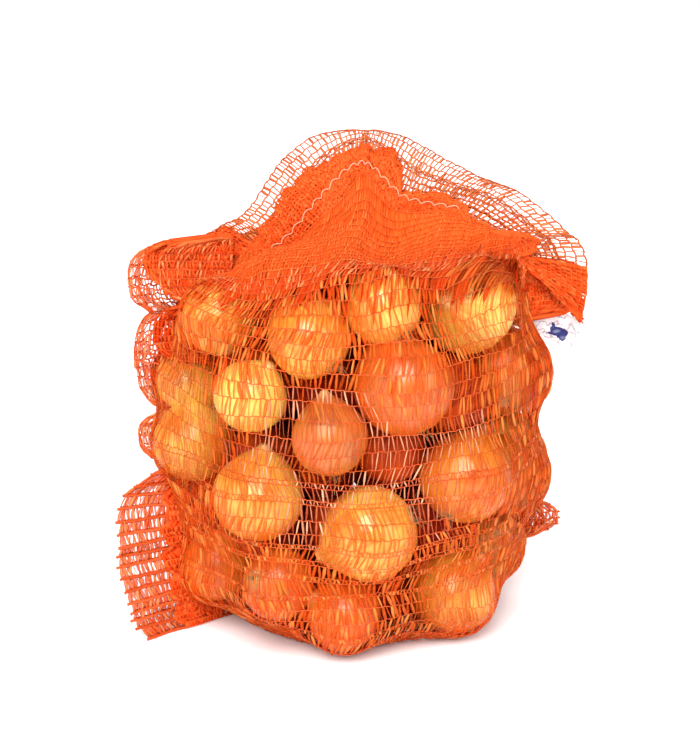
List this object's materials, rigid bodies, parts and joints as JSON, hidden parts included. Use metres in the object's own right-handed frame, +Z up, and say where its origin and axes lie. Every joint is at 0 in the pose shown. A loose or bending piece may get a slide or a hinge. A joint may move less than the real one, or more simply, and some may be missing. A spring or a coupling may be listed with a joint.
{
  "type": "net sack of onions",
  "caption": "Knitted orange net sack, pushed out in bulges by the yellow onions inside it, sewn shut across the top with a loose frill above the seam.",
  "frame": {"origin": "on the floor, at the middle of the flat base", "axes": "+Z up; the front of the sack, with the sewn seam leaning back from it, faces -Y; +X to the right as seen from the front"},
  "size_m": [0.268, 0.2113, 0.2798],
  "materials": {
    "net": "knitted plastic tape, orange, slightly see-through",
    "thread": "white sewing thread",
    "label_film": "white film with plain fields of colour"
  },
  "bodies": {
    "root": {"sack": "net", "closing_stitch": "thread", "label": "label_film"}
  },
  "joints": []
}
